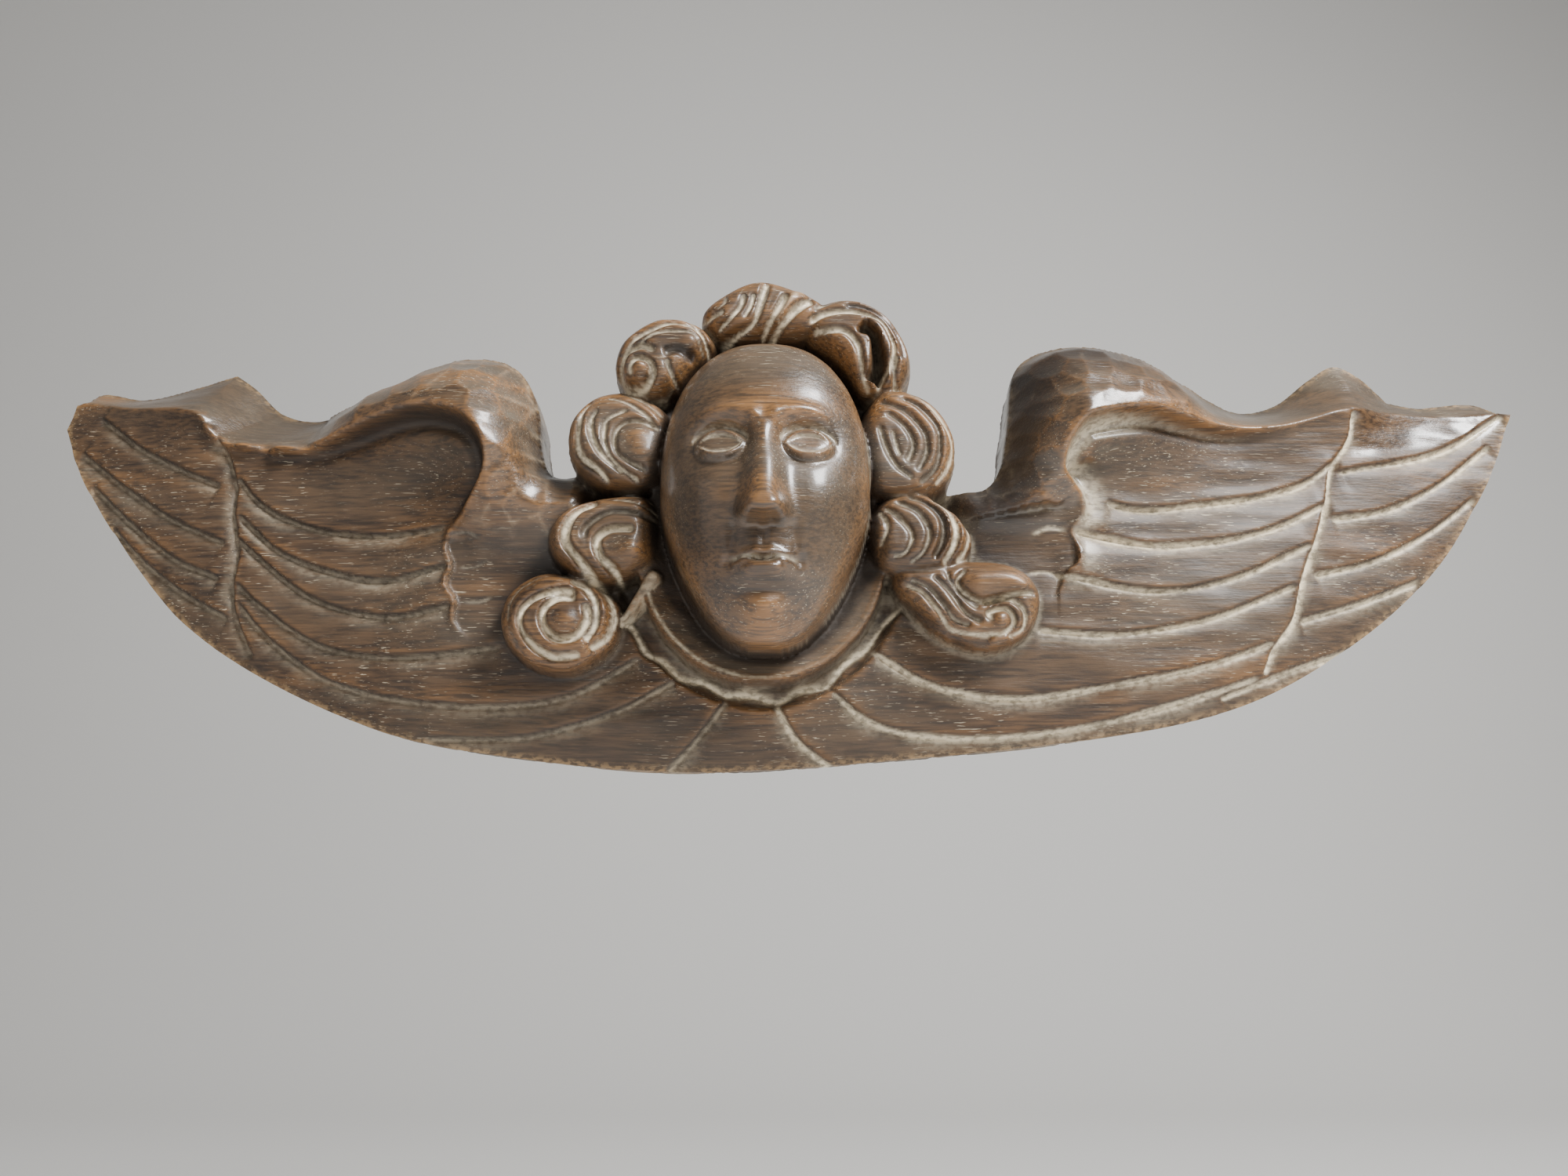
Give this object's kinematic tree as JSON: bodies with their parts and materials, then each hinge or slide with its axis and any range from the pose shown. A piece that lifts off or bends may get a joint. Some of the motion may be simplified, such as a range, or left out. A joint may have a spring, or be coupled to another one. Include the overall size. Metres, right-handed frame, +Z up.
{
  "type": "winged angel head wall carving",
  "caption": "Carved wooden relief of an angel's head between two spread wings, with a flat back that goes against a wall.",
  "frame": {"origin": "on the flat back, behind the middle of the head and half way up the carving", "axes": "+X to the right as one faces it, along the wings; +Z up; the carving faces -Y and the back is the plane Y = 0"},
  "size_m": [0.4649, 0.0735, 0.1492],
  "materials": {
    "dark_wood": "dark brown stain, waxed to a half gloss, worn paler on the high places and dusty in the cuts"
  },
  "bodies": {
    "root": {"winged_angel_head": "dark_wood"}
  },
  "joints": []
}
